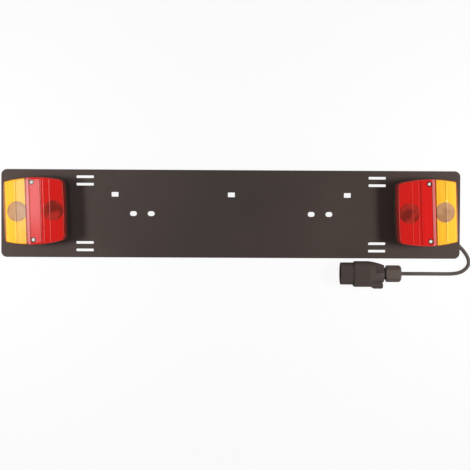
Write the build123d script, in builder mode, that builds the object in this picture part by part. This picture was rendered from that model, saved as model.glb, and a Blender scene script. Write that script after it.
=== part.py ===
"""Trailer lighting board: a punched sheet-steel board with two rear lamps, their wiring and a plug.

The board lies on its back on the ends of its four lamp bolts, with the lamps facing up. X runs along
the board, Y up the board as it hangs in use and Z out of the lamps. Z = 0 is the surface it lies on.
The lamps are one moulding used twice: the left one is the right one turned half a turn.
"""

import os
from math import pi, radians, tan

from build123d import *

os.makedirs("parts", exist_ok=True)

# Board, in millimetres
board_width = 800.0
board_height = 153.0
board_thickness = 2.0
board_corner = 10.0
board_edge_chamfer = 0.3
bolt_end_gap = 17.0

# Slots for the webbing straps, in pairs above and below the middle of the board
strap_slot_length = 30.0
strap_slot_width = 4.5
strap_slot_corner = 1.0
strap_slot_x = 254.5
strap_slot_pitch = 13.0
strap_pair_y = 57.2

# Holes for the number plate: clip holes in a row and bolt slots on the middle line
clip_hole_width = 12.0
clip_hole_height = 8.0
clip_hole_corner = 0.8
clip_hole_x = 202.5
clip_hole_y = 33.4
plate_slot_length = 12.0
plate_slot_width = 8.5
plate_slot_inner_x = 139.5
plate_slot_outer_x = 170.5

# Lamps: the plan outline is a rectangle with bowed sides and rounded corners
lamp_end_inset = 60.2
lamp_y = 4.4
lamp_turn = 2.0
lamp_width = 108.0
lamp_height = 116.0
lamp_end_bow = 6.5
lamp_outer_bow = 3.0
lamp_inner_bow = 1.0
lamp_corner = 9.0

# Lamp base, a pan with a skirt
base_height = 12.0
base_wall = 3.0
base_floor = 2.5
base_skirt = 1.2
base_draft = 4.0
partition_thickness = 2.0
partition_notch_width = 10.0
partition_notch_height = 6.0
pillar_radius = 4.5
seal_height = 1.5
seal_width = 2.6
lens_room = 1.0

# Lens: flat in the middle, sloping back a little on the red side and further on the amber side
lens_face = 49.5
lens_inner_drop = 3.0
lens_outer_drop = 8.5
lens_outer_lean = 7.0
lens_outer_foot = 2.0
lens_red_crease = -15.5
lens_amber_crease = 28.4
lens_crease_radius = 10.0
lens_draft = 1.0
lens_edge_radius = 2.8
lens_wall = 2.2
lens_seam = 11.0
band_start = -14.0
band_end = 4.5
band_rise = 1.4
rib_width = 5.0
rib_rise = 2.4
moulding_end_gap = 3.4
bead_width = 1.2
bead_rise = 0.6
step_bead = -19.0
red_bead = -29.5
flute_pitch = 4.2
flute_depth = 0.7
flute_end_gap = 12.0
bullseye_red = -34.5
bullseye_amber = 26.5
bullseye_radius = 17.8
bullseye_inner_radius = 10.5
bullseye_step = 0.9

# Lens screws, in counterbores at both ends of the lens
lens_screw_y = 49.2
lens_screw_radius = 2.0
lens_screw_length = 20.0
lens_screw_head_radius = 3.0
lens_screw_head_height = 2.4
lens_screw_head_round = 1.2
lens_screw_clearance = 0.15
counterbore_radius = 4.3
counterbore_depth = 3.2
screw_pad_thickness = 2.4
screw_cross_length = 3.6
screw_cross_width = 0.9
screw_cross_depth = 1.0

# Lamp bolts, with a washer and a nut behind the board
bolt_x = -5.0
bolt_y = 31.0
bolt_radius = 3.0
bolt_head_flats = 10.0
bolt_head_height = 4.0
bolt_clearance = 0.2
thread_clearance = 0.05
washer_radius = 6.0
washer_thickness = 1.6
nut_flats = 10.0
nut_height = 5.0
nut_chamfer = 0.6

# Bulbs lie along the board, each in a bracket with a bayonet socket
bulb_height = 23.0
bulb_length = 47.0
bulb_glass_radius = 12.5
bulb_cap_radius = 7.5
bulb_cap_length = 15.0
bulb_neck_radius = 6.6
bulb_contact_radius = 3.0
bulb_contact_length = 1.5
bayonet_pin_radius = 1.0
bayonet_pin_rise = 1.2
bayonet_pin_setback = 5.0
socket_wall = 0.8
socket_length = 12.0
socket_clearance = 0.15
bracket_width = 20.0
bracket_thickness = 1.2
bracket_foot_length = 16.0

# Wiring
lead_diameter = 6.4
link_diameter = 6.0
grommet_x = -5.0
grommet_y = 11.0
grommet_wall = 1.8
grommet_lip = 2.0
grommet_lip_thickness = 2.0
grommet_clearance = 0.1
cable_inside_lamp = 4.0
cable_arc_share = 0.45
coil_x = 85.0
coil_y = -22.0
coil_radius = 41.6
coil_turns = 5.5
coil_stub = 27.0
coil_corner = 2.5
tie_sweep = 8.0
tie_thickness = 0.9
tie_angles = (0.0, 180.0)

# Plug, lying on the widest part of its body with its open end towards -X
plug_front_x = 190.7
plug_y = -102.8
sleeve_radius = 19.4
sleeve_wall = 2.3
sleeve_length = 23.4
plug_radius = 21.8
plug_body_length = 26.0
plug_tail_length = 26.5
plug_tail_radius = 15.0
plug_tail_bulge = 0.9
collar_chamfer = 1.0
plug_wall = 2.5
mouth_chamfer = 0.6
neck_radius = 10.4
neck_bore = 7.0
neck_length = 14.0
insert_face_depth = 20.0
insert_thickness = 12.0
insert_clearance = 0.1
insert_shoulder = 1.2
rail_width = 29.0
rail_height = 22.4
rail_root = 14.6
lug_start = 54.5
lug_length = 19.0
lug_height = 25.5
lug_corner = 3.5
grip_pocket_start = 60.0
grip_pocket_floor = 10.0
grip_pocket_edge = 2.0
contact_circle_radius = 10.8
contact_count = 6
contact_radius = 2.4
contact_length = 15.0
contact_tail = 3.0
contact_tip = 0.5
contact_slit_width = 0.7
contact_slit_depth = 8.0
centre_contact_radius = 3.4
centre_contact_bore = 2.2
gland_nut_flats = 26.0
gland_nut_radius = 14.7
gland_nut_length = 26.6
gland_nut_end_wall = 5.4
gland_nut_chamfer = 3.0
gland_nut_front_chamfer = 1.6
gland_gap = 3.4
gland_clearance = 0.1

# Heights and places that follow from the sizes above
board_back = bolt_end_gap
board_front = board_back + board_thickness
seal_foot = base_height
lens_foot = base_height + seal_height
lens_inner_face = lens_face - lens_wall
lead_radius = lead_diameter / 2
link_radius = link_diameter / 2
lamp_x = board_width / 2 - lamp_end_inset
right_lamp = Location((lamp_x, lamp_y, board_front), (0, 0, lamp_turn))
left_lamp = Location((-lamp_x, lamp_y, board_front), (0, 0, lamp_turn + 180))
lamps = {"left": left_lamp, "right": right_lamp}


def on_board(lamp, x, y):
    """Where a point of a lamp's plan lies on the board."""
    spot = (lamp * Pos(x, y)).position
    return (spot.X, spot.Y)


bolt_spots = [on_board(lamp, bolt_x, side * bolt_y) for lamp in lamps.values() for side in (1, -1)]
lens_screw_spots = [on_board(lamp, 0, side * lens_screw_y) for lamp in lamps.values() for side in (1, -1)]
lead_entry = on_board(right_lamp, grommet_x, -grommet_y)
link_entries = [on_board(left_lamp, grommet_x, -grommet_y), on_board(right_lamp, grommet_x, grommet_y)]
bolt_hole_radius = bolt_radius + bolt_clearance
lead_hole_radius = lead_radius + grommet_wall + grommet_clearance
link_hole_radius = link_radius + grommet_wall + grommet_clearance


def save(piece, name):
    """Label one finished piece and write its STEP file."""
    piece.label = name
    export_step(piece, f"parts/{name}.step")


def save_for_each_lamp(piece, name):
    """Write one lamp piece twice, where the left and the right lamp stand."""
    for side, lamp in lamps.items():
        with BuildPart() as placed:
            with Locations(lamp):
                add(piece)
        save(placed.part, f"{side}_{name}")


# Board plate
half_pitch = strap_slot_pitch / 2
strap_rows = [pair + row for pair in (strap_pair_y, -strap_pair_y) for row in (half_pitch, -half_pitch)]
strap_slots = [(side * strap_slot_x, row) for side in (1, -1) for row in strap_rows]
clip_holes = [(x, clip_hole_y) for x in (-clip_hole_x, 0, clip_hole_x)]
plate_slots = [(side * x, 0) for side in (1, -1) for x in (plate_slot_inner_x, plate_slot_outer_x)]
with BuildPart() as board_plate:
    with BuildSketch(Plane.XY.offset(board_back)):
        RectangleRounded(board_width, board_height, board_corner)
        with Locations(*strap_slots):
            RectangleRounded(strap_slot_length, strap_slot_width, strap_slot_corner, mode=Mode.SUBTRACT)
        with Locations(*clip_holes):
            RectangleRounded(clip_hole_width, clip_hole_height, clip_hole_corner, mode=Mode.SUBTRACT)
        with Locations(*plate_slots):
            SlotOverall(plate_slot_length, plate_slot_width, mode=Mode.SUBTRACT)
        with Locations(*bolt_spots):
            Circle(bolt_hole_radius, mode=Mode.SUBTRACT)
        with Locations(lead_entry):
            Circle(lead_hole_radius, mode=Mode.SUBTRACT)
        with Locations(*link_entries):
            Circle(link_hole_radius, mode=Mode.SUBTRACT)
    extrude(amount=board_thickness)
    rims = board_plate.faces().filter_by(Axis.Z)
    chamfer([edge for face in rims for edge in face.outer_wire().edges()], board_edge_chamfer)
save(board_plate.part, "board_plate")

# Plan outline of a lamp, with +X towards its amber side
half_width = lamp_width / 2
half_height = lamp_height / 2


def lamp_plan(grow):
    """Outline of the lamp, a rectangle with bowed sides, grown by the same amount all round."""
    top = half_height + grow
    outer = half_width + grow
    shoulder = top - lamp_end_bow
    inner_shoulder = lamp_inner_bow - outer
    outer_shoulder = outer - lamp_outer_bow
    with BuildSketch() as plan:
        with BuildLine():
            ThreePointArc((outer_shoulder, shoulder), (0, top), (inner_shoulder, shoulder))
            ThreePointArc((inner_shoulder, shoulder), (-outer, 0), (inner_shoulder, -shoulder))
            ThreePointArc((inner_shoulder, -shoulder), (0, -top), (outer_shoulder, -shoulder))
            ThreePointArc((outer_shoulder, -shoulder), (outer, 0), (outer_shoulder, shoulder))
        make_face()
        fillet(plan.vertices(), lamp_corner + grow)
    return plan.sketch


def lens_form(inset, drop):
    """Solid of the lens as moulded from outside, drawn in by inset and lowered by drop."""
    far = lamp_width
    block_height = lens_face - lens_foot + lens_wall
    foot_plan = lamp_plan(-inset)
    top_plan = lamp_plan(-inset - block_height * tan(radians(lens_draft)))
    with BuildPart() as form:
        with BuildSketch(Plane.XY.offset(lens_foot)):
            add(foot_plan)
        with BuildSketch(Plane.XY.offset(lens_foot + block_height)):
            add(top_plan)
        loft(ruled=True)
        face = lens_face - drop
        inner_slope = lens_inner_drop / (half_width + lens_red_crease)
        outer_slope = lens_outer_drop / (half_width - lens_amber_crease)
        inner_end = (-far, face - inner_slope * (far + lens_red_crease))
        lean_foot = (half_width - inset, lens_foot + lens_outer_foot)
        lean_top_x = half_width - inset - lens_outer_lean
        lean_top = (lean_top_x, face - outer_slope * (lean_top_x - lens_amber_crease))
        with BuildSketch(Plane.XZ):
            with BuildLine():
                FilletPolyline(
                    inner_end,
                    (lens_red_crease, face),
                    (lens_amber_crease, face),
                    lean_top,
                    radius=lens_crease_radius - drop,
                )
                Polyline(lean_top, lean_foot, (far, lean_foot[1]), (far, far), (-far, far), inner_end)
            make_face()
        extrude(amount=lamp_height, both=True, mode=Mode.SUBTRACT)
        top = form.faces().filter_by(lambda one: one.normal_at().Z > 0.7)
        sides = form.faces().filter_by(lambda one: abs(one.normal_at().Z) < 0.5)
        rim = (top.edges() & sides.edges()).sort_by(Axis.X)
        fillet(rim, lens_edge_radius - drop)
    return form.part


lens_outside = lens_form(0, 0)
lens_inside = lens_form(lens_wall, lens_wall)


def inside_height(x):
    """Height of the inner face of the lens at x, without its flutes."""
    red_fall = lens_inner_drop / (half_width + lens_red_crease) * max(0, lens_red_crease - x)
    amber_fall = lens_outer_drop / (half_width - lens_amber_crease) * max(0, x - lens_amber_crease)
    return lens_inner_face - red_fall - amber_fall


# Hollow of the lens, with vertical flutes and a stepped round optic in front of each bulb
flute_count = int((lamp_width - 2 * flute_end_gap) / flute_pitch)
flute_start = -flute_pitch * (flute_count - 1) / 2
flute_spots = [(x, inside_height(x)) for x in (flute_start + flute_pitch * i for i in range(flute_count))]
bullseyes = [(bullseye_red, 0, lens_face), (bullseye_amber, 0, lens_face)]
with BuildPart() as lens_hollow:
    add(lens_inside)
    with BuildSketch(Plane.XZ):
        with Locations(*flute_spots):
            RegularPolygon(flute_depth, 4)
    extrude(amount=half_height - flute_end_gap, both=True)
for step, radius in enumerate((bullseye_radius, bullseye_inner_radius), start=1):
    with BuildPart() as optic:
        with Locations(*bullseyes):
            Cylinder(radius, lens_face)
        add(lens_inside.moved(Pos(0, 0, -step * bullseye_step)), mode=Mode.INTERSECT)
    with lens_hollow:
        with Locations(*bullseyes):
            Cylinder(radius, lens_face, mode=Mode.SUBTRACT)
        add(optic.part)

# Plan of the raised mouldings: strips that stop short of the edge of the lens
moulding_field = lamp_plan(-moulding_end_gap)


def moulding(start, end, rise):
    """One raised strip on the front of the lens, from x = start to x = end, rooted in its wall."""
    middle = (start + end) / 2
    root_depth = lens_wall / 2
    with BuildPart() as strip:
        with BuildSketch(Plane.XY.offset(inside_height(middle) + lens_wall - root_depth)):
            with Locations((middle, 0)):
                Rectangle(end - start, lamp_height)
            add(moulding_field, mode=Mode.INTERSECT)
        extrude(amount=root_depth + rise)
        fillet(strip.faces().sort_by(Axis.Z)[-1].edges(), rise / 3)
    return strip.part


def bead(x):
    """One thin raised line up the front of the lens."""
    return moulding(x - bead_width / 2, x + bead_width / 2, bead_rise)


# Lens shell in one form, then cut at the seam into the red and the amber moulding
screw_seat = lens_face + band_rise - counterbore_depth
pad_foot = screw_seat - screw_pad_thickness
lens_screw_places = [(0, lens_screw_y), (0, -lens_screw_y)]
with BuildPart() as lens_shell:
    add(lens_outside)
    add(lens_hollow.part, mode=Mode.SUBTRACT)
    add(moulding(band_start, band_end, band_rise))
    add(moulding(band_end, band_end + rib_width, rib_rise))
    for bead_x in (red_bead, step_bead, lens_amber_crease):
        add(bead(bead_x))
    with BuildSketch(Plane.XY.offset(pad_foot)):
        with Locations(*lens_screw_places):
            Circle(counterbore_radius + lens_wall / 2)
    extrude(amount=lens_inner_face - pad_foot + lens_wall / 2)
    with BuildSketch(Plane.XY.offset(screw_seat)):
        with Locations(*lens_screw_places):
            Circle(counterbore_radius)
    extrude(amount=lens_face, mode=Mode.SUBTRACT)
    with BuildSketch(Plane.XY.offset(pad_foot)):
        with Locations(*lens_screw_places):
            Circle(lens_screw_radius + lens_screw_clearance)
    extrude(amount=lens_face, mode=Mode.SUBTRACT)
lens_seam_plane = Plane.YZ.offset(lens_seam)
with BuildPart() as red_lens:
    add(lens_shell.part)
    split(bisect_by=lens_seam_plane, keep=Keep.BOTTOM)
save_for_each_lamp(red_lens.part, "red_lens")
with BuildPart() as amber_lens:
    add(lens_shell.part)
    split(bisect_by=lens_seam_plane, keep=Keep.TOP)
save_for_each_lamp(amber_lens.part, "amber_lens")

# Seal between the lens and the rim of the base
lens_plan = lamp_plan(0)
seal_opening = lamp_plan(-seal_width)
with BuildPart() as lens_seal:
    with BuildSketch(Plane.XY.offset(seal_foot)):
        add(lens_plan)
        add(seal_opening, mode=Mode.SUBTRACT)
    extrude(amount=seal_height)
save_for_each_lamp(lens_seal.part, "lens_seal")

# Lamp base: a pan with a partition between the two bulbs and a pillar under each lens screw
partition_x = lens_seam - partition_thickness
partition_height = lens_inner_face - lens_room
partition_length = 2 * (half_height - base_wall - lens_room)
base_foot_plan = lamp_plan(base_skirt)
base_rim_plan = lamp_plan(base_skirt - base_height * tan(radians(base_draft)))
base_opening = lamp_plan(-base_wall)
with BuildPart() as lamp_base:
    with BuildSketch():
        add(base_foot_plan)
    with BuildSketch(Plane.XY.offset(base_height)):
        add(base_rim_plan)
    loft(ruled=True)
    with BuildSketch(Plane.XY.offset(base_floor)):
        add(base_opening)
    extrude(amount=base_height, mode=Mode.SUBTRACT)
    with BuildSketch():
        with Locations((partition_x, 0)):
            Rectangle(partition_thickness, partition_length)
        with Locations(*lens_screw_places):
            Circle(pillar_radius)
    extrude(amount=partition_height)
    with BuildSketch(Plane.XY.offset(pad_foot)):
        with Locations(*lens_screw_places):
            Circle(pillar_radius)
    extrude(amount=partition_height, mode=Mode.SUBTRACT)
    with BuildSketch(Plane.XY.offset(base_floor)):
        with Locations((partition_x, 0)):
            Rectangle(2 * partition_thickness, partition_notch_width)
    extrude(amount=partition_notch_height, mode=Mode.SUBTRACT)
    with BuildSketch():
        with Locations((bolt_x, bolt_y), (bolt_x, -bolt_y)):
            Circle(bolt_hole_radius)
        with Locations((grommet_x, grommet_y), (grommet_x, -grommet_y)):
            Circle(lead_hole_radius)
    extrude(amount=base_floor, mode=Mode.SUBTRACT)
    with BuildSketch(Plane.XY.offset(screw_seat - lens_screw_length - lens_room)):
        with Locations(*lens_screw_places):
            Circle(lens_screw_radius + thread_clearance)
    extrude(amount=lens_screw_length + lens_room, mode=Mode.SUBTRACT)
save_for_each_lamp(lamp_base.part, "lamp_base")

# Lens screws, pan heads with a cross recess
with BuildPart() as lens_screw:
    with BuildSketch(Plane.XY.offset(-lens_screw_length)):
        Circle(lens_screw_radius)
    extrude(amount=lens_screw_length)
    with BuildSketch():
        Circle(lens_screw_head_radius)
    extrude(amount=lens_screw_head_height)
    fillet(lens_screw.edges().sort_by(Axis.Z)[-1], lens_screw_head_round)
    with BuildSketch(Plane.XY.offset(lens_screw_head_height)):
        Rectangle(screw_cross_length, screw_cross_width)
        Rectangle(screw_cross_width, screw_cross_length)
    extrude(amount=-screw_cross_depth, mode=Mode.SUBTRACT)
with BuildPart() as lens_screws:
    with Locations(*[(x, y, board_front + screw_seat) for x, y in lens_screw_spots]):
        add(lens_screw.part)
save(lens_screws.part, "lens_screws")

# Lamp bolts from inside the base, through the board, with a washer and a nut behind it
with BuildPart() as lamp_bolts:
    with BuildSketch(Plane.XY.offset(board_front + base_floor)):
        with Locations(*bolt_spots):
            RegularPolygon(bolt_head_flats / 2, 6, major_radius=False)
    extrude(amount=bolt_head_height)
    with BuildSketch():
        with Locations(*bolt_spots):
            Circle(bolt_radius)
    extrude(amount=board_front + base_floor)
    chamfer(lamp_bolts.faces().filter_by(Axis.Z).group_by(Axis.Z)[0].edges(), nut_chamfer)
save(lamp_bolts.part, "lamp_bolts")
with BuildPart() as lamp_washers:
    with BuildSketch(Plane.XY.offset(board_back - washer_thickness)):
        with Locations(*bolt_spots):
            Circle(washer_radius)
            Circle(bolt_hole_radius, mode=Mode.SUBTRACT)
    extrude(amount=washer_thickness)
save(lamp_washers.part, "lamp_washers")
with BuildPart() as lamp_nuts:
    with BuildSketch(Plane.XY.offset(board_back - washer_thickness - nut_height)):
        with Locations(*bolt_spots):
            RegularPolygon(nut_flats / 2, 6, major_radius=False)
    extrude(amount=nut_height)
    chamfer(lamp_nuts.faces().filter_by(Axis.Z).group_by(Axis.Z)[0].edges(), nut_chamfer)
    with BuildSketch(Plane.XY.offset(board_back - washer_thickness - nut_height)):
        with Locations(*bolt_spots):
            Circle(bolt_radius + thread_clearance)
    extrude(amount=nut_height, mode=Mode.SUBTRACT)
save(lamp_nuts.part, "lamp_nuts")

# Bulbs: a bayonet cap with two pins and a round glass, on an axis along Y with the glass at the origin
cap_foot = bulb_glass_radius - bulb_length + bulb_contact_length
cap_end = cap_foot + bulb_cap_length
glass_start = -((bulb_glass_radius**2 - bulb_neck_radius**2) ** 0.5)
axial_plane = Plane(origin=(0, 0, 0), x_dir=(0, 1, 0), z_dir=(1, 0, 0))
with BuildPart() as bulb:
    with BuildSketch(axial_plane):
        with BuildLine():
            Polyline(
                (bulb_glass_radius, 0),
                (cap_foot - bulb_contact_length, 0),
                (cap_foot - bulb_contact_length, bulb_contact_radius),
                (cap_foot, bulb_contact_radius),
                (cap_foot, bulb_cap_radius),
                (cap_end, bulb_cap_radius),
                (cap_end, bulb_neck_radius),
                (glass_start, bulb_neck_radius),
            )
            ThreePointArc((glass_start, bulb_neck_radius), (0, bulb_glass_radius), (bulb_glass_radius, 0))
        make_face()
    revolve(axis=Axis.Y)
    pin_y = cap_end - bayonet_pin_setback
    with BuildSketch(Plane.YZ):
        with Locations((pin_y, 0)):
            Circle(bayonet_pin_radius)
    extrude(amount=bulb_cap_radius + bayonet_pin_rise, both=True)
bulb_places = {"stop_bulb": bullseye_red, "indicator_bulb": bullseye_amber}
for name, x in bulb_places.items():
    with BuildPart() as seated_bulb:
        with Locations((x, 0, bulb_height)):
            add(bulb.part)
    save_for_each_lamp(seated_bulb.part, name)

# Bulb holders: an angle bracket on the floor of the base with a slotted bayonet socket
socket_bore = bulb_cap_radius + socket_clearance
socket_radius = socket_bore + socket_wall
pin_room = bayonet_pin_radius + socket_clearance
foot_level = base_floor - bulb_height
with BuildPart() as bulb_holder:
    with BuildSketch(Plane.XZ.offset(-cap_foot)):
        with Locations((0, (socket_radius + foot_level) / 2)):
            Rectangle(bracket_width, socket_radius - foot_level)
        Circle(bulb_contact_radius + socket_clearance, mode=Mode.SUBTRACT)
    extrude(amount=bracket_thickness)
    with BuildSketch(Plane.XY.offset(foot_level)):
        with Locations((0, cap_foot)):
            Rectangle(bracket_width, bracket_foot_length, align=(Align.CENTER, Align.MIN))
    extrude(amount=bracket_thickness)
    with BuildSketch(Plane.XZ.offset(-cap_foot)):
        Circle(socket_radius)
        Circle(socket_bore, mode=Mode.SUBTRACT)
    extrude(amount=-socket_length)
    with BuildSketch(Plane.XY):
        with Locations((0, pin_y - pin_room)):
            Rectangle(bracket_width, socket_length, align=(Align.CENTER, Align.MIN))
    extrude(amount=pin_room, both=True, mode=Mode.SUBTRACT)
with BuildPart() as bulb_holders:
    with Locations(*[(x, 0, bulb_height) for x in bulb_places.values()]):
        add(bulb_holder.part)
save_for_each_lamp(bulb_holders.part, "bulb_holders")


def grommet(bore):
    """Rubber grommet through the board and the floor of a lamp base, with a lip on both sides."""
    neck = bore + grommet_wall
    lip = neck + grommet_lip
    depth = board_thickness + base_floor
    with BuildPart() as ring:
        with BuildSketch(Plane.XZ):
            with BuildLine():
                Polyline(
                    (bore, -grommet_lip_thickness),
                    (lip - grommet_lip / 2, -grommet_lip_thickness),
                    (lip, -grommet_lip_thickness / 2),
                    (lip, 0),
                    (neck, 0),
                    (neck, depth),
                    (lip, depth),
                    (lip, depth + grommet_lip_thickness / 2),
                    (lip - grommet_lip / 2, depth + grommet_lip_thickness),
                    (bore, depth + grommet_lip_thickness),
                    close=True,
                )
            make_face()
        revolve(axis=Axis.Z)
    return ring.part


lead_ring = grommet(lead_radius)
link_ring = grommet(link_radius)
with BuildPart() as lead_grommet:
    with Locations((*lead_entry, board_back)):
        add(lead_ring)
save(lead_grommet.part, "lead_grommet")
with BuildPart() as link_grommets:
    with Locations(*[(*entry, board_back) for entry in link_entries]):
        add(link_ring)
save(link_grommets.part, "link_grommets")


def corner_radii(points):
    """The largest even arc at each corner of a cable route."""
    radii = []
    for before, corner, after in zip(points, points[1:], points[2:]):
        arriving = Vector(corner) - Vector(before)
        leaving = Vector(after) - Vector(corner)
        half_turn = radians(arriving.get_angle(leaving)) / 2
        radii.append(cable_arc_share * min(arriving.length, leaving.length) / tan(half_turn))
    return radii


def cable(points, radius, name):
    """Round cable along straight runs joined by arcs."""
    radii = corner_radii(points)
    print(name, "arc radii", [round(one, 1) for one in radii])
    with BuildPart() as tube:
        with BuildLine():
            route = FilletPolyline(*points, radius=radii)
        with BuildSketch(Plane(route @ 0, z_dir=route % 0)):
            Circle(radius)
        sweep()
    print(name, "length", round(route.length), "by volume", round(tube.part.volume / (pi * radius**2)))
    return tube.part


# Lead: from the right lamp to a coil under the board, then out past the board's edge to the plug
cable_top = board_front + base_floor + cable_inside_lamp
coil_level = tie_thickness + lead_radius
coil_axis = Axis((coil_x, coil_y, 0), (0, 0, 1))
coil_entry = (coil_x + coil_stub, coil_y - coil_radius, coil_level)
coil_exit = (coil_x + coil_stub, coil_y + coil_radius, coil_level + lead_diameter)
plug_z = plug_radius
lead_inner_points = [
    (*lead_entry, cable_top),
    (*lead_entry, lead_radius),
    (312, -20, lead_radius),
    (280, -34.5, lead_radius),
    (244, -46.5, lead_radius),
    (200, -57, lead_radius),
    (152, *coil_entry[1:]),
    coil_entry,
]
lead_outer_points = [
    coil_exit,
    (146, *coil_exit[1:]),
    (195, 18, lead_radius),
    (250, 14.2, lead_radius),
    (300, 9.2, lead_radius),
    (334, 3.6, lead_radius),
    (365, -13, lead_radius),
    (386, -36, lead_radius),
    (401.1, -54.6, lead_radius),
    (410, -63.5, lead_radius),
    (417.3, -74.4, lead_radius),
    (419.6, -84.6, lead_radius),
    (415.4, -94.1, lead_radius),
    (404, -101.8, lead_radius),
    (389, -103.9, lead_radius),
    (372, -103.9, 3.7),
    (343, -103.3, 13),
    (310, plug_y, plug_z),
    (276, plug_y, plug_z),
]
save(cable(lead_inner_points, lead_radius, "lead_inner"), "lead_inner")
save(cable(lead_outer_points, lead_radius, "lead_outer"), "lead_outer")

# Coil, wound inwards on one layer and outwards on the next, as one solid with the two ends that leave it
coil_depth = lead_diameter * coil_turns / 2
coil_mean_radius = coil_radius - coil_depth / 2
coil_width = coil_depth + lead_diameter
coil_height = 2 * lead_diameter
coil_middle = tie_thickness + coil_height / 2
with BuildPart() as lead_coil:
    with BuildSketch(Plane((coil_x, coil_y, 0), x_dir=(1, 0, 0), z_dir=(0, -1, 0))):
        with Locations((coil_mean_radius, coil_middle)):
            RectangleRounded(coil_width, coil_height, coil_corner)
    revolve(axis=coil_axis)
    for end in (coil_entry, coil_exit):
        with BuildSketch(Plane(end, z_dir=(-1, 0, 0))):
            Circle(lead_radius)
        extrude(amount=coil_stub)
save(lead_coil.part, "lead_coil")
with BuildPart() as coil_tie:
    with BuildSketch(Plane.XZ):
        with Locations((coil_mean_radius, coil_middle)):
            RectangleRounded(
                coil_width + 2 * tie_thickness,
                coil_height + 2 * tie_thickness,
                coil_corner + tie_thickness,
            )
            RectangleRounded(coil_width, coil_height, coil_corner, mode=Mode.SUBTRACT)
    revolve(axis=Axis.Z, revolution_arc=tie_sweep)
with BuildPart() as coil_ties:
    with Locations(*[Location((coil_x, coil_y, 0), (0, 0, angle)) for angle in tie_angles]):
        add(coil_tie.part)
save(coil_ties.part, "coil_ties")

# Plug, drawn from its open mouth along its axis
plug_mouth = (plug_front_x, plug_y, plug_z)
plug_axis = Axis(plug_mouth, (1, 0, 0))
plug_side = Plane(plug_mouth, x_dir=(1, 0, 0), z_dir=(0, -1, 0))
body_end = sleeve_length + plug_body_length
tail_end = body_end + plug_tail_length
neck_end = tail_end + neck_length
tail_middle = ((body_end + tail_end) / 2, (plug_radius + plug_tail_radius) / 2 + plug_tail_bulge)
insert_seat = insert_face_depth + insert_thickness
sleeve_bore = sleeve_radius - sleeve_wall
cavity_radius = sleeve_bore - insert_shoulder
cavity_end = grip_pocket_start - plug_wall


def across_plug(distance):
    """Plane across the plug's axis, this far behind its mouth."""
    return Plane((plug_front_x + distance, plug_y, plug_z), x_dir=(0, 1, 0), z_dir=(1, 0, 0))


# Plug shell: an open sleeve, a wider body that tapers to a neck, a rail with a lug and two grip pockets
with BuildPart() as plug_shell:
    with BuildSketch(plug_side):
        with BuildLine():
            Polyline(
                (body_end, plug_radius),
                (sleeve_length + collar_chamfer, plug_radius),
                (sleeve_length, plug_radius - collar_chamfer),
                (sleeve_length, sleeve_radius),
                (mouth_chamfer, sleeve_radius),
                (0, sleeve_radius - mouth_chamfer),
                (0, 0),
                (neck_end, 0),
                (neck_end, neck_radius),
                (tail_end, neck_radius),
                (tail_end, plug_tail_radius),
            )
            ThreePointArc((tail_end, plug_tail_radius), tail_middle, (body_end, plug_radius))
        make_face()
    revolve(axis=plug_axis)
    with BuildSketch(Plane(plug_mouth)):
        with Locations((sleeve_length, -rail_root)):
            Rectangle(
                lug_start + lug_length / 2 - sleeve_length,
                rail_height - rail_root,
                align=(Align.MIN, Align.MAX),
            )
        with Locations((lug_start, -rail_root)):
            RectangleRounded(lug_length, lug_height - rail_root, lug_corner, align=(Align.MIN, Align.MAX))
    extrude(amount=rail_width / 2, both=True)
    with BuildSketch(plug_side):
        with BuildLine():
            Polyline(
                (0, 0),
                (0, sleeve_bore + mouth_chamfer),
                (mouth_chamfer, sleeve_bore),
                (insert_seat, sleeve_bore),
                (insert_seat, cavity_radius),
                (cavity_end, cavity_radius),
                (cavity_end, neck_bore),
                (neck_end, neck_bore),
                (neck_end, 0),
                close=True,
            )
        make_face()
    revolve(axis=plug_axis, mode=Mode.SUBTRACT)
    for side in (1, -1):
        with BuildSketch(Plane((plug_front_x, plug_y, plug_z + side * grip_pocket_floor))):
            with Locations((grip_pocket_start, grip_pocket_edge)):
                Rectangle(tail_end - grip_pocket_start, plug_radius, align=(Align.MIN, Align.MIN))
        extrude(amount=side * plug_radius, mode=Mode.SUBTRACT)
save(plug_shell.part, "plug_shell")

# Contact insert against its shoulder in the sleeve, with six split pins round a tube
with BuildPart() as plug_insert:
    with BuildSketch(across_plug(insert_face_depth)):
        Circle(sleeve_bore - insert_clearance)
        Circle(centre_contact_radius, mode=Mode.SUBTRACT)
        with PolarLocations(contact_circle_radius, contact_count):
            Circle(contact_radius, mode=Mode.SUBTRACT)
    extrude(amount=insert_thickness)
save(plug_insert.part, "plug_insert")
contact_start = insert_face_depth - contact_length
with BuildPart() as plug_contacts:
    with BuildSketch(across_plug(contact_start)):
        Circle(centre_contact_radius)
        Circle(centre_contact_bore, mode=Mode.SUBTRACT)
        with PolarLocations(contact_circle_radius, contact_count):
            Circle(contact_radius)
    extrude(amount=contact_length + insert_thickness + contact_tail)
    chamfer(plug_contacts.faces().filter_by(Axis.X).group_by(Axis.X)[0].edges(), contact_tip)
    with BuildSketch(across_plug(contact_start)):
        with PolarLocations(contact_circle_radius, contact_count):
            Rectangle(2 * contact_radius, contact_slit_width)
    extrude(amount=contact_slit_depth, mode=Mode.SUBTRACT)
save(plug_contacts.part, "plug_contacts")

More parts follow.
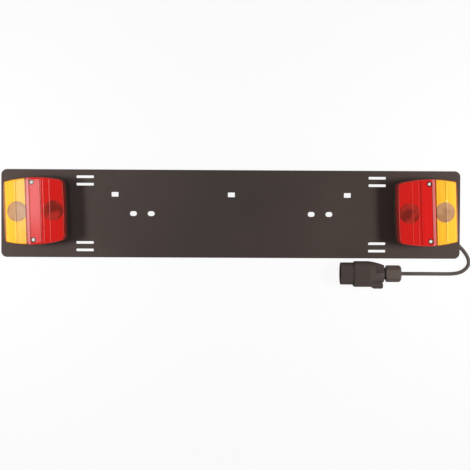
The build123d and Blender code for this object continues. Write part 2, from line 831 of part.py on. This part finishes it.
# Gland nut over the neck, with a rubber seal that grips the lead
nut_start = tail_end + gland_gap
nut_end = nut_start + gland_nut_length
seal_end = nut_end - gland_nut_end_wall
with BuildPart() as plug_gland_nut:
    with BuildSketch(plug_side):
        with BuildLine():
            Polyline(
                (nut_start, 0),
                (nut_start, gland_nut_radius - gland_nut_front_chamfer),
                (nut_start + gland_nut_front_chamfer, gland_nut_radius),
                (nut_end - gland_nut_chamfer, gland_nut_radius),
                (nut_end, gland_nut_radius - gland_nut_chamfer),
                (nut_end, 0),
                close=True,
            )
        make_face()
    revolve(axis=plug_axis)
    with BuildSketch(across_plug(nut_start)):
        RegularPolygon(gland_nut_flats / 2, 6, major_radius=False)
    extrude(amount=gland_nut_length, mode=Mode.INTERSECT)
    with BuildSketch(across_plug(nut_start)):
        Circle(neck_radius + gland_clearance)
    extrude(amount=seal_end - nut_start, mode=Mode.SUBTRACT)
    with BuildSketch(across_plug(nut_start)):
        Circle(lead_radius + gland_clearance)
    extrude(amount=gland_nut_length, mode=Mode.SUBTRACT)
save(plug_gland_nut.part, "plug_gland_nut")
with BuildPart() as plug_gland_seal:
    with BuildSketch(across_plug(neck_end)):
        Circle(neck_radius)
        Circle(lead_radius, mode=Mode.SUBTRACT)
    extrude(amount=seal_end - neck_end)
save(plug_gland_seal.part, "plug_gland_seal")
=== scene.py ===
"""Looks of the trailer lighting board: finishes, the lead as one cord, light and camera.

The board lies on its back, in metres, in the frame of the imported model: X along the board, Y up the
board as it hangs in use, Z out of the lamps. The camera looks down on it.
"""

import math

import bpy
from mathutils import Euler, Matrix, Vector


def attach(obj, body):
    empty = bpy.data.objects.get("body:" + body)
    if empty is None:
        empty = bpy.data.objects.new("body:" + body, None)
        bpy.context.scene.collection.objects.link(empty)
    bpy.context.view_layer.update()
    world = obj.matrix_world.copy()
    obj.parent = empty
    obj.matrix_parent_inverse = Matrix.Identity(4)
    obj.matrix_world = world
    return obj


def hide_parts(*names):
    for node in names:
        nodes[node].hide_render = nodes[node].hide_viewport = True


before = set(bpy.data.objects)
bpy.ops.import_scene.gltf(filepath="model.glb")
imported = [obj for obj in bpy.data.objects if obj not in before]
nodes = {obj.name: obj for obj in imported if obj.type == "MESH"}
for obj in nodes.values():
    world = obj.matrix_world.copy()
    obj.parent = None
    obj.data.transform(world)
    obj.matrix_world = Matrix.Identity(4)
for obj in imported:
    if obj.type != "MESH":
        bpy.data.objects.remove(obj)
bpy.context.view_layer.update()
scene = bpy.context.scene
scene.view_settings.view_transform = "Standard"
MM = 0.001

# Lamps: where each stands on the board and its turn in degrees; the left one is the right one turned round
LAMP_X = 339.8 * MM
LAMP_Y = 4.4 * MM
LAMP_TURN = 2.0
LAMPS = {
    "left": (-LAMP_X, LAMP_Y, math.radians(LAMP_TURN + 180)),
    "right": (LAMP_X, LAMP_Y, math.radians(LAMP_TURN)),
}

# Lens, in its lamp's own axes: X across it, from the red half to the amber half, and Y along the weld
OPTIC_RED_X = -34.5 * MM
OPTIC_AMBER_X = 26.5 * MM
OPTIC_RADIUS = 17.8 * MM
RIB_X = 7.0 * MM
RIB_HALF_WIDTH = 2.4 * MM
WELD_X = 11.0 * MM
WELD_HALF_WIDTH = 0.9 * MM
BEADS_X = (-29.5 * MM, -19.0 * MM)
BEAD_HALF_WIDTH = 0.8 * MM
RECESS_Y = 49.2 * MM
RECESS_RADIUS = 4.5 * MM
FLUTE_PITCH = 4.2 * MM
FLUTE_WAVE = 0.15
SIDE_WALL_X = 44.0 * MM
END_WALL_Y = 50.0 * MM

# Walls of a lens: the upward part of a face's normal where the painted light and shade of the walls begins
# and where it is full
WALL_PAINT_BEGINS = 0.93
WALL_PAINT_FULL = 0.7


def linear(hex_colour):
    """A colour written as sRGB hex, in the linear values that the shaders take."""
    channels = [int(hex_colour[i : i + 2], 16) / 255 for i in (1, 3, 5)]
    return (*[c / 12.92 if c <= 0.04045 else ((c + 0.055) / 1.055) ** 2.4 for c in channels], 1.0)


def add_node(tree, kind, inputs=None, **settings):
    """One shader node with its settings, and its inputs as values or links."""
    node = tree.nodes.new(kind)
    for name, value in settings.items():
        setattr(node, name, value)
    for name, value in (inputs or {}).items():
        if isinstance(value, bpy.types.NodeSocket):
            tree.links.new(value, node.inputs[name])
        else:
            node.inputs[name].default_value = value
    return node


def new_material(name, values=None):
    """A node material, its tree and its Principled shader with these values."""
    material = bpy.data.materials.new(name)
    material.use_nodes = True
    tree = material.node_tree
    shader = tree.nodes["Principled BSDF"]
    for socket, value in (values or {}).items():
        shader.inputs[socket].default_value = value
    return material, tree, shader


def two_tone(tree, shader, dark, light, patch, detail=2.0):
    """A colour that wanders between two tones, in patches of one size; gives the noise behind it."""
    place = add_node(tree, "ShaderNodeTexCoord").outputs["Object"]
    noise = add_node(tree, "ShaderNodeTexNoise", {"Vector": place, "Scale": 1 / patch, "Detail": detail})
    tone = add_node(
        tree,
        "ShaderNodeMix",
        {"Factor": noise.outputs["Fac"], "A": linear(dark), "B": linear(light)},
        data_type="RGBA",
    )
    tree.links.new(tone.outputs["Result"], shader.inputs["Base Color"])
    return noise.outputs["Fac"]


def dress(material, *names):
    """Give CAD nodes a finish."""
    for name in names:
        nodes[name].data.materials.clear()
        nodes[name].data.materials.append(material)


# Powder-coated steel: sprayed and baked, so satin and a little cloudy, with an orange peel of about 1.4 mm
def powder_coated_steel():
    material, tree, shader = new_material("powder_coated_steel")
    two_tone(tree, shader, "#453b38", "#514642", patch=111 * MM, detail=3.0)
    place = add_node(tree, "ShaderNodeTexCoord").outputs["Object"]
    peel = add_node(
        tree, "ShaderNodeTexNoise", {"Vector": place, "Scale": 1 / (1.43 * MM), "Detail": 2.0}
    ).outputs["Fac"]
    sheen = add_node(tree, "ShaderNodeMapRange", {"Value": peel, "To Min": 0.4, "To Max": 0.5})
    tree.links.new(sheen.outputs["Result"], shader.inputs["Roughness"])
    bump = add_node(tree, "ShaderNodeBump", {"Height": peel, "Strength": 0.25, "Distance": 0.12 * MM})
    tree.links.new(bump.outputs["Normal"], shader.inputs["Normal"])
    return material


# Moulded plastic: satin from a spark-eroded mould, its grain drawn 0.7 mm wide, coarser than life, to show
def moulded_plastic(name, dark, light, roughness):
    material, tree, shader = new_material(name, {"Roughness": roughness})
    grain = two_tone(tree, shader, dark, light, patch=0.714 * MM)
    bump = add_node(tree, "ShaderNodeBump", {"Height": grain, "Strength": 0.3, "Distance": 0.08 * MM})
    tree.links.new(bump.outputs["Normal"], shader.inputs["Normal"])
    return material


# Soft PVC sheath: extruded, so smooth, with a dull shine and a haze in patches of about 6 mm
def soft_pvc_sheath():
    material, tree, shader = new_material("soft_pvc_sheath", {"Roughness": 0.42})
    two_tone(tree, shader, "#4d4541", "#5b524d", patch=6.25 * MM)
    return material


# Black rubber: moulded and matte, with a dusty bloom in patches of about 3 mm
def black_rubber():
    material, tree, shader = new_material("black_rubber", {"Roughness": 0.75})
    two_tone(tree, shader, "#171514", "#242120", patch=3.33 * MM, detail=3.0)
    return material


# Zinc plate on steel: silvery, with a crystalline mottle of about 1 mm; the copy with almost no metal in it
# renders pale and hardly like metal, a painted highlight on the lens screws
def zinc_plate(name, metallic):
    material, tree, shader = new_material(name, {"Metallic": metallic})
    mottle = two_tone(tree, shader, "#e4e1da", "#fbf9f5", patch=1.11 * MM, detail=3.0)
    sheen = add_node(tree, "ShaderNodeMapRange", {"Value": mottle, "To Min": 0.32, "To Max": 0.46})
    tree.links.new(sheen.outputs["Result"], shader.inputs["Roughness"])
    return material


# Drawn brass: yellow, slightly tarnished in patches of about 4 mm
def drawn_brass():
    material, tree, shader = new_material("drawn_brass", {"Roughness": 0.32, "Metallic": 1.0})
    two_tone(tree, shader, "#b08d4a", "#d9b972", patch=4 * MM, detail=3.0)
    return material


# Blown glass: clear and smooth, with a faint grey haze in patches of about 8 mm
def blown_bulb_glass():
    material, tree, shader = new_material(
        "blown_bulb_glass", {"Roughness": 0.05, "IOR": 1.5, "Transmission Weight": 0.8}
    )
    two_tone(tree, shader, "#e9ecec", "#f7f8f8", patch=8.33 * MM)
    return material


def lens_flutes(tree, local, across):
    """Share of the streak tone: a wave for each moulded flute, made uneven by streaks 2.4 by 111 mm."""
    turns = add_node(
        tree, "ShaderNodeMath", {0: across, 1: 2 * math.pi / FLUTE_PITCH}, operation="MULTIPLY"
    )
    wave = add_node(tree, "ShaderNodeMath", {0: turns.outputs[0]}, operation="SINE")
    upright = (1 / (2.38 * MM), 1 / (111 * MM), 1 / (111 * MM))
    stretched = add_node(tree, "ShaderNodeMapping", {"Vector": local, "Scale": upright})
    streaks = add_node(
        tree, "ShaderNodeTexNoise", {"Vector": stretched.outputs["Vector"], "Scale": 1.0, "Detail": 2.0}
    )
    uneven = add_node(
        tree,
        "ShaderNodeMath",
        {0: wave.outputs[0], 1: FLUTE_WAVE, 2: streaks.outputs["Fac"]},
        operation="MULTIPLY_ADD",
    )
    return uneven.outputs[0]


def lens_optic(tree, place, across, along, optic_x, tones):
    """Share and colour of the round optic: a disc painted with the shaded inside of the lamp, darker towards
    its edge as painted shade, with the bulb as painted blotches of 15 mm.
    """
    flat = add_node(tree, "ShaderNodeCombineXYZ", {"X": across, "Y": along}).outputs["Vector"]
    reach = add_node(
        tree, "ShaderNodeVectorMath", {0: flat, 1: (optic_x, 0, 0)}, operation="DISTANCE"
    ).outputs["Value"]
    disc = add_node(
        tree,
        "ShaderNodeMapRange",
        {"Value": reach, "From Min": OPTIC_RADIUS * 1.05, "From Max": OPTIC_RADIUS * 0.9},
        interpolation_type="SMOOTHSTEP",
    )
    rim_shade = add_node(
        tree,
        "ShaderNodeMapRange",
        {
            "Value": reach,
            "From Min": OPTIC_RADIUS * 0.7,
            "From Max": OPTIC_RADIUS,
            "To Min": -0.03,
            "To Max": 0.06,
        },
        interpolation_type="SMOOTHSTEP",
    )
    blotches = add_node(
        tree, "ShaderNodeTexNoise", {"Vector": place, "Scale": 1 / (15.4 * MM), "Detail": 0.5}
    )
    painted_depth = add_node(
        tree,
        "ShaderNodeMath",
        {0: blotches.outputs["Fac"], 1: rim_shade.outputs["Result"]},
        operation="ADD",
    )
    dark = add_node(
        tree,
        "ShaderNodeMapRange",
        {"Value": painted_depth.outputs[0], "From Min": 0.38, "From Max": 0.62},
        interpolation_type="SMOOTHSTEP",
    )
    colour = add_node(
        tree,
        "ShaderNodeMix",
        {
            "Factor": dark.outputs["Result"],
            "A": linear(tones["optic"]),
            "B": linear(tones["optic_inside_shade"]),
        },
        data_type="RGBA",
    )
    return disc.outputs["Result"], colour.outputs["Result"]


def lens_walls(tree, side_reach, end_reach):
    """Share of the painted light and shade on the steep faces near the lens's outline: a painted glow on the
    red lens, painted shade on the amber.
    """
    normal = add_node(tree, "ShaderNodeNewGeometry").outputs["Normal"]
    facing = add_node(tree, "ShaderNodeSeparateXYZ", {"Vector": normal})
    steep = add_node(
        tree,
        "ShaderNodeMapRange",
        {"Value": facing.outputs["Z"], "From Min": WALL_PAINT_BEGINS, "From Max": WALL_PAINT_FULL},
        interpolation_type="SMOOTHSTEP",
    )
    at_side = add_node(tree, "ShaderNodeMath", {0: side_reach, 1: SIDE_WALL_X}, operation="GREATER_THAN")
    at_end = add_node(tree, "ShaderNodeMath", {0: end_reach, 1: END_WALL_Y}, operation="GREATER_THAN")
    outline = add_node(
        tree, "ShaderNodeMath", {0: at_side.outputs[0], 1: at_end.outputs[0]}, operation="MAXIMUM"
    )
    share = add_node(
        tree,
        "ShaderNodeMath",
        {0: steep.outputs["Result"], 1: outline.outputs[0]},
        operation="MULTIPLY",
    )
    return share.outputs[0]


def painted_lens_line(tree, across, middle, half_width, strength):
    """Share of the tone painted along a line up the lens: a painted highlight on the rib and the beads,
    painted shade along the weld.
    """
    line = add_node(tree, "ShaderNodeMath", {0: across, 1: middle, 2: half_width}, operation="COMPARE")
    share = add_node(tree, "ShaderNodeMath", {0: line.outputs[0], 1: strength}, operation="MULTIPLY")
    return share.outputs[0]


def screw_recess_shade(tree, across, end_reach):
    """Share of the painted shade in the two holes that the lens screws sit in, all the way down."""
    folded = add_node(tree, "ShaderNodeCombineXYZ", {"X": across, "Y": end_reach}).outputs["Vector"]
    reach = add_node(
        tree, "ShaderNodeVectorMath", {0: folded, 1: (0, RECESS_Y, 0)}, operation="DISTANCE"
    )
    hole = add_node(
        tree, "ShaderNodeMath", {0: reach.outputs["Value"], 1: RECESS_RADIUS}, operation="LESS_THAN"
    )
    return hole.outputs[0]


# Moulded acrylic: coloured and polished, so it mirrors the lights; its flutes show as upright streaks; its
# walls carry painted light and shade, its round optic painted shade of the lamp's inside, the rib and the
# beads painted highlights, and the weld between the two colours and the screw recesses painted shade
def moulded_acrylic(name, side, optic_x, tones):
    material, tree, shader = new_material(
        f"{name}_{side}", {"Roughness": 0.1, "IOR": 1.49, "Transmission Weight": 0.08}
    )
    x, y, turn = LAMPS[side]
    place = add_node(tree, "ShaderNodeTexCoord").outputs["Object"]
    local = add_node(
        tree,
        "ShaderNodeMapping",
        {"Vector": place, "Location": (x, y, 0), "Rotation": (0, 0, turn)},
        vector_type="TEXTURE",
    ).outputs["Vector"]
    axes = add_node(tree, "ShaderNodeSeparateXYZ", {"Vector": local})
    across, along = axes.outputs["X"], axes.outputs["Y"]
    side_reach = add_node(tree, "ShaderNodeMath", {0: across}, operation="ABSOLUTE").outputs[0]
    end_reach = add_node(tree, "ShaderNodeMath", {0: along}, operation="ABSOLUTE").outputs[0]

    layers = [
        (lens_flutes(tree, local, across), linear(tones["streak"])),
        # painted shade of the lamp's dark inside, seen through the optic
        lens_optic(tree, place, across, along, optic_x, tones),
        # painted light and shade on the steep faces by the outline
        (lens_walls(tree, side_reach, end_reach), linear(tones["wall"])),
        # painted highlight along the rib
        (painted_lens_line(tree, across, RIB_X, RIB_HALF_WIDTH, strength=0.6), linear("#d98a86")),
        # painted shade along the weld between the two lenses
        (painted_lens_line(tree, across, WELD_X, WELD_HALF_WIDTH, strength=0.9), linear("#5a2313")),
    ]
    # painted highlights along the beads
    for bead_x in BEADS_X:
        bead_highlight = painted_lens_line(tree, across, bead_x, BEAD_HALF_WIDTH, strength=0.55)
        layers.append((bead_highlight, linear("#f04a40")))
    # painted shade in the screw recesses
    layers.append((screw_recess_shade(tree, across, end_reach), linear("#2b0f0d")))

    colour = linear(tones["face"])
    for share, tone in layers:
        colour = add_node(
            tree, "ShaderNodeMix", {"Factor": share, "A": colour, "B": tone}, data_type="RGBA"
        ).outputs["Result"]
    tree.links.new(colour, shader.inputs["Base Color"])
    return material


RED_TONES = {
    "face": "#cf1c18",
    "streak": "#e02420",
    # painted glow: the red walls are brighter than the face
    "wall": "#dc332a",
    # painted shade: the lamp's dark inside seen through the optic
    "optic": "#b42e24",
    "optic_inside_shade": "#80241c",
}
AMBER_TONES = {
    "face": "#f7ad23",
    "streak": "#fdc742",
    # painted shade: the amber walls are darker than the face
    "wall": "#c8761a",
    # painted shade: the lamp's dark inside seen through the optic
    "optic": "#bb8f68",
    "optic_inside_shade": "#ab7d58",
}
abs_finish = moulded_plastic("moulded_black_abs", "#463c39", "#544945", 0.48)
nylon_finish = moulded_plastic("moulded_grey_nylon", "#574c47", "#685c57", 0.42)
sheath_finish = soft_pvc_sheath()
rubber_finish = black_rubber()
brass_finish = drawn_brass()
glass_finish = blown_bulb_glass()

dress(powder_coated_steel(), "board_plate")
for side in LAMPS:
    dress(abs_finish, f"{side}_lamp_base")
    dress(rubber_finish, f"{side}_lens_seal")
    dress(moulded_acrylic("red_acrylic", side, OPTIC_RED_X, RED_TONES), f"{side}_red_lens")
    dress(moulded_acrylic("amber_acrylic", side, OPTIC_AMBER_X, AMBER_TONES), f"{side}_amber_lens")
    dress(glass_finish, f"{side}_stop_bulb", f"{side}_indicator_bulb")
    dress(brass_finish, f"{side}_bulb_holders")
dress(zinc_plate("zinc_plated_steel", 0.8), "lamp_bolts", "lamp_washers", "lamp_nuts")
# The lens screws take the nearly non-metallic copy: their pale heads are a painted highlight
dress(zinc_plate("zinc_screws_painted_bright", 0.05), "lens_screws")
dress(rubber_finish, "lead_grommet", "link_grommets", "plug_gland_seal")
dress(abs_finish, "plug_shell", "plug_insert", "coil_ties")
dress(nylon_finish, "plug_gland_nut")
dress(brass_finish, "plug_contacts")

# Lead: one cord from the right lamp, through its coil under the board, to the plug; its length is in metres,
# and its radius and its route are in millimetres
LEAD_RADIUS = 3.2
LEAD_ENTRY = (335.19, -6.77)
LEAD_END_Z = 25.5
PLUG_Y = -102.8
PLUG_Z = 21.8

# Coil: two layers of turns, in millimetres; it climbs to the upper layer between two counts of turns
COIL_MIDDLE = (85.0, -22.0)
COIL_RADIUS = 41.6
COIL_TURNS = 5.5
COIL_POINTS_PER_TURN = 24
COIL_LOW = 4.1
COIL_HIGH = 10.5
CLIMB_START = 2.45
CLIMB_END = 3.05

LEAD_INNER = [
    (*LEAD_ENTRY, LEAD_END_Z),
    (*LEAD_ENTRY, LEAD_RADIUS),
    (312, -20, LEAD_RADIUS),
    (280, -34.5, LEAD_RADIUS),
    (244, -46.5, LEAD_RADIUS),
    (200, -57, LEAD_RADIUS),
    (152, -63.6, COIL_LOW),
    (112, -63.6, COIL_LOW),
]
LEAD_OUTER = [
    (112, 19.6, COIL_HIGH),
    (146, 19.6, COIL_HIGH),
    (195, 18, LEAD_RADIUS),
    (250, 14.2, LEAD_RADIUS),
    (300, 9.2, LEAD_RADIUS),
    (334, 3.6, LEAD_RADIUS),
    (365, -13, LEAD_RADIUS),
    (386, -36, LEAD_RADIUS),
    (401.1, -54.6, LEAD_RADIUS),
    (410, -63.5, LEAD_RADIUS),
    (417.3, -74.4, LEAD_RADIUS),
    (419.6, -84.6, LEAD_RADIUS),
    (415.4, -94.1, LEAD_RADIUS),
    (404, -101.8, LEAD_RADIUS),
    (389, -103.9, LEAD_RADIUS),
    (372, -103.9, 3.7),
    (343, -103.3, 13),
    (310, PLUG_Y, PLUG_Z),
    (276, PLUG_Y, PLUG_Z),
]


def coil_turns():
    """The coil's turns: inwards on the floor, then up a layer and outwards again, clockwise from above."""
    points = []
    x, y = COIL_MIDDLE
    for i in range(int(COIL_TURNS * COIL_POINTS_PER_TURN) + 1):
        turn = i / COIL_POINTS_PER_TURN
        radius = COIL_RADIUS - 2 * LEAD_RADIUS * min(turn, COIL_TURNS - turn)
        angle = -math.pi / 2 - 2 * math.pi * turn
        climb = min(max((turn - CLIMB_START) / (CLIMB_END - CLIMB_START), 0), 1)
        level = COIL_LOW + (COIL_HIGH - COIL_LOW) * climb * climb * (3 - 2 * climb)
        points.append((x + radius * math.cos(angle), y + radius * math.sin(angle), level))
    return points


def lead():
    """The whole lead as a round curve."""
    curve = bpy.data.curves.new("lead", "CURVE")
    curve.dimensions = "3D"
    route = [Vector(point) * MM for point in LEAD_INNER + coil_turns() + LEAD_OUTER]
    spline = curve.splines.new("NURBS")
    spline.points.add(len(route) - 1)
    for point, place in zip(spline.points, route):
        point.co = (*place, 1.0)
    spline.order_u = 3
    spline.use_endpoint_u = True
    spline.resolution_u = 8
    curve.bevel_depth = LEAD_RADIUS * MM
    curve.bevel_resolution = 5
    curve.use_fill_caps = True
    curve.materials.append(sheath_finish)
    piece = bpy.data.objects.new("lead", curve)
    scene.collection.objects.link(piece)
    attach(piece, "root")
    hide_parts("lead_inner", "lead_coil", "lead_outer")


lead()

# Floor: its size and level in metres, how white the camera sees it, and how bright polished faces mirror it
FLOOR_SIZE = 12.0
FLOOR_LEVEL = -0.5 * MM
FLOOR_WHITE = 0.93
FLOOR_MIRRORED = 0.15


def studio_floor():
    """A pale floor, clear from below, that the camera sees as nearly white and that keeps a faint shadow."""
    bpy.ops.object.select_all(action="DESELECT")
    bpy.ops.mesh.primitive_plane_add(size=FLOOR_SIZE, location=(0, 0, FLOOR_LEVEL))
    floor = bpy.context.object
    floor.name = "floor"
    material, tree, shader = new_material(
        "studio_floor", {"Base Color": linear("#f2f2f2"), "Roughness": 0.9}
    )
    seen = add_node(tree, "ShaderNodeLightPath").outputs
    straight = seen["Is Camera Ray"]
    for ray in ("Is Transmission Ray", "Is Glossy Ray"):
        straight = add_node(
            tree, "ShaderNodeMath", {0: straight, 1: seen[ray]}, operation="MAXIMUM"
        ).outputs[0]
    share = add_node(tree, "ShaderNodeMath", {0: straight, 1: FLOOR_WHITE}, operation="MULTIPLY")
    glow = add_node(
        tree,
        "ShaderNodeMapRange",
        {"Value": seen["Is Glossy Ray"], "To Min": 1.0, "To Max": FLOOR_MIRRORED},
    )
    white = add_node(
        tree, "ShaderNodeEmission", {"Color": (1, 1, 1, 1), "Strength": glow.outputs["Result"]}
    )
    above = add_node(
        tree,
        "ShaderNodeMixShader",
        {0: share.outputs[0], 1: shader.outputs["BSDF"], 2: white.outputs["Emission"]},
    )
    from_below = add_node(tree, "ShaderNodeNewGeometry").outputs["Backfacing"]
    clear = add_node(tree, "ShaderNodeBsdfTransparent")
    one_sided = add_node(
        tree,
        "ShaderNodeMixShader",
        {0: from_below, 1: above.outputs["Shader"], 2: clear.outputs["BSDF"]},
    )
    tree.links.new(one_sided.outputs["Shader"], tree.nodes["Material Output"].inputs["Surface"])
    floor.data.materials.append(material)


# Light, in metres and watts: a bank and a spot at each end of the board, and two strips over the left lamp,
# whose reflection is the pale band up its lens; each area light with its place, size, power and aim
BANK_SIZE = (1.6, 0.8)
BANK_POWER = 12.0
BANK_AIM = (0.0, 0.0, 0.03)
AREA_LIGHTS = [
    ("band_strip", (-0.515, 0.15, 1.5), (0.11, 0.4), 0.66, None),
    ("band_strip_end", (-0.515, -0.09, 1.5), (0.11, 0.08), 0.06, None),
    ("left_bank", (-2.6, 0.0, 1.15), BANK_SIZE, BANK_POWER, BANK_AIM),
    ("right_bank", (2.6, 0.0, 1.15), BANK_SIZE, BANK_POWER, BANK_AIM),
]
SPOT_X = 1.25
SPOT_Z = 1.3
SPOT_AIM_X = 0.5
SPOT_AIM_Z = 0.02
SPOT_POWER = 118.0
SPOT_CONE = 32.0
SPOT_RADIUS = 0.2

# Studio walls and ceiling: how bright they glow
WALLS_GLOW = 0.58
CEILING_GLOW = 0.09


def add_light(name, kind, place, power, aim):
    """One light of the studio, aimed at a point, or straight down where there is none."""
    light = bpy.data.lights.new(name, kind)
    light.energy = power
    piece = bpy.data.objects.new(name, light)
    scene.collection.objects.link(piece)
    piece.location = place
    if aim:
        towards = Vector(aim) - Vector(place)
        piece.rotation_euler = towards.to_track_quat("-Z", "Y").to_euler()
    return piece


def studio_walls():
    """Pale walls all round and a dim ceiling, as the world's light."""
    world = bpy.data.worlds.new("studio_walls")
    scene.world = world
    world.use_nodes = True
    tree = world.node_tree
    way = add_node(tree, "ShaderNodeTexCoord").outputs["Generated"]
    height = add_node(tree, "ShaderNodeSeparateXYZ", {"Vector": way})
    glow = add_node(
        tree,
        "ShaderNodeMapRange",
        {
            "Value": height.outputs["Z"],
            "From Min": 0.1,
            "From Max": 0.9,
            "To Min": WALLS_GLOW,
            "To Max": CEILING_GLOW,
        },
    )
    walls = tree.nodes["Background"]
    walls.inputs["Color"].default_value = linear("#fffdfb")
    tree.links.new(glow.outputs["Result"], walls.inputs["Strength"])


def studio_lights():
    """The strips, the banks, and the spots, which no polished face mirrors."""
    for name, place, size, power, aim in AREA_LIGHTS:
        panel = add_light(name, "AREA", place, power, aim)
        panel.data.shape = "RECTANGLE"
        panel.data.size, panel.data.size_y = size
    for end in (-1, 1):
        place = (end * SPOT_X, 0.0, SPOT_Z)
        aim = (end * SPOT_AIM_X, 0.0, SPOT_AIM_Z)
        spot = add_light("end_spot", "SPOT", place, SPOT_POWER, aim)
        spot.visible_glossy = False
        spot.data.spot_size = math.radians(SPOT_CONE)
        spot.data.spot_blend = 1.0
        spot.data.shadow_soft_size = SPOT_RADIUS


studio_floor()
studio_walls()
studio_lights()

# Camera, in millimetres, degrees and pixels of the frame: its distance and its turn about the board's short
# side were chosen, and the rest was fitted to the board's edges and holes and to the lamps
FRAME_PIXELS = 470
FOCAL_PIXELS = 1433.71
CAMERA_DISTANCE = 2500.0
CAMERA_SHIFT = (-6.49, 36.57)
CAMERA_TURN = (1.77, 1.0, -0.26)
BOARD_FRONT = 19.0
camera_data = bpy.data.cameras.new("camera")
camera_data.sensor_width = 36.0
camera_data.lens = FOCAL_PIXELS / FRAME_PIXELS * camera_data.sensor_width
camera = bpy.data.objects.new("camera", camera_data)
scene.collection.objects.link(camera)
board_in_view = Euler([math.radians(angle) for angle in CAMERA_TURN], "XYZ").to_matrix().to_4x4()
board_in_view.translation = Vector((*CAMERA_SHIFT, -CAMERA_DISTANCE)) * MM
camera.matrix_world = Matrix.Translation((0, 0, BOARD_FRONT * MM)) @ board_in_view.inverted()
scene.camera = camera
